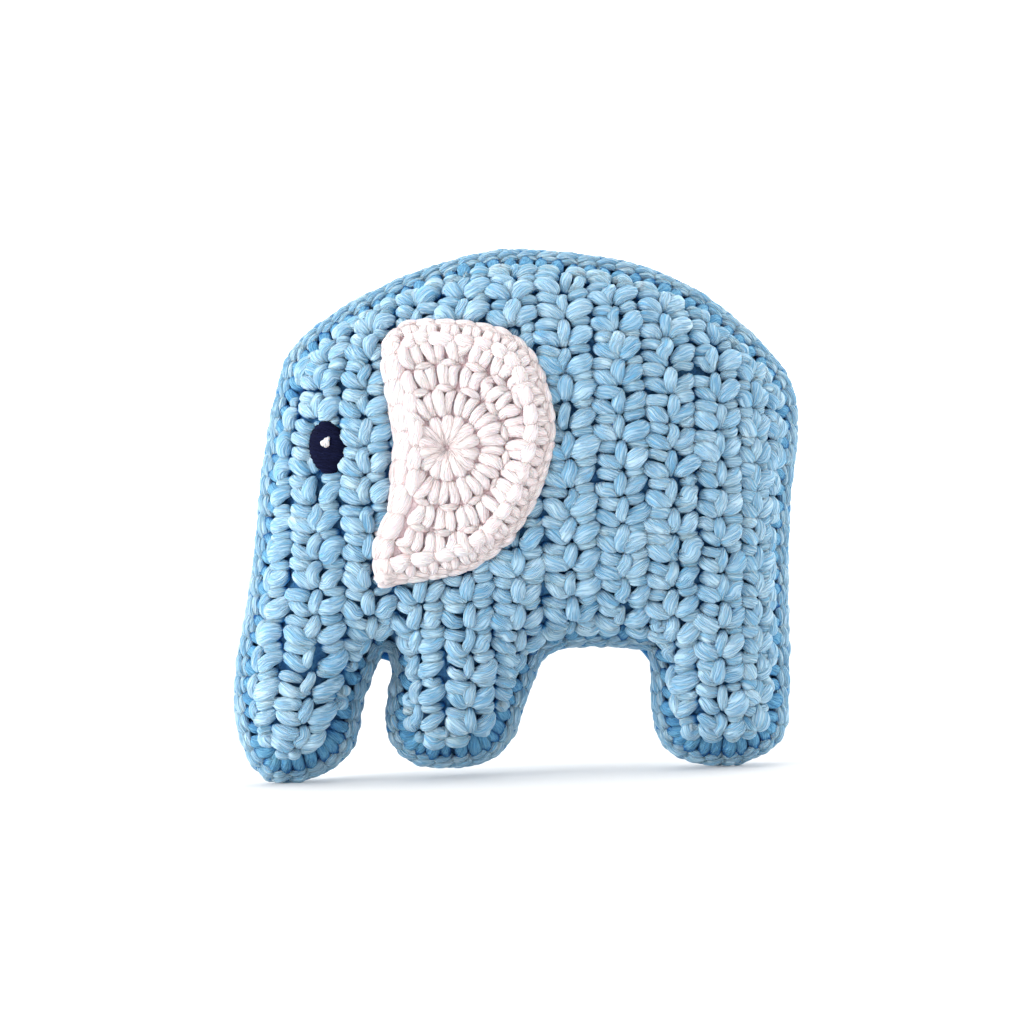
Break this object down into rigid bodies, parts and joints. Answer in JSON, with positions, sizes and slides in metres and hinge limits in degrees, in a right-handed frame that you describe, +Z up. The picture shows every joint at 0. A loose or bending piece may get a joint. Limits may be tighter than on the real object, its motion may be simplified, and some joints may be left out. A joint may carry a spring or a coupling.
{
  "type": "crocheted elephant soft toy",
  "caption": "Crocheted elephant soft toy: two puffed side panels joined by an edging round and filled with fibre, with sewn-on folding ears and stitched eyes.",
  "frame": {"origin": "on the floor, below the middle of the toy's length, in its middle plane", "axes": "+Z up, the elephant faces -X and its left side faces -Y"},
  "size_m": [0.1318, 0.0524, 0.1202],
  "materials": {
    "blue_yarn": "light blue crocheted cotton yarn, matt with a soft sheen along the plies",
    "ear_yarn": "off-white crocheted cotton yarn with pinkish hollows",
    "navy_yarn": "navy embroidery yarn in close satin stitches, slight sheen",
    "white_yarn": "white embroidery yarn",
    "fibre_filling": "loose white polyester fibre filling"
  },
  "bodies": {
    "body": {"edging_round": "blue_yarn", "left_panel": "blue_yarn", "right_panel": "blue_yarn", "body_filling": "fibre_filling", "trunk_filling": "fibre_filling", "front_leg_filling": "fibre_filling", "rear_leg_filling": "fibre_filling", "left_ear_thread": "ear_yarn", "right_ear_thread": "ear_yarn", "left_eye": "navy_yarn", "right_eye": "navy_yarn", "left_eye_glint": "white_yarn", "right_eye_glint": "white_yarn"},
    "left_ear_flap": {"left_ear": "ear_yarn"},
    "right_ear_flap": {"right_ear": "ear_yarn"}
  },
  "joints": [
    {"name": "left_ear_fold", "type": "hinge", "parent": "body", "child": "left_ear_flap", "pos_m": [-0.0308, -0.0232, 0.0748], "axis": [-0.0732, 0, -0.9973], "range_deg": [0, 140]},
    {"name": "right_ear_fold", "type": "hinge", "parent": "body", "child": "right_ear_flap", "pos_m": [-0.0308, 0.0232, 0.0748], "axis": [0.0732, 0, 0.9973], "range_deg": [0, 140]}
  ]
}
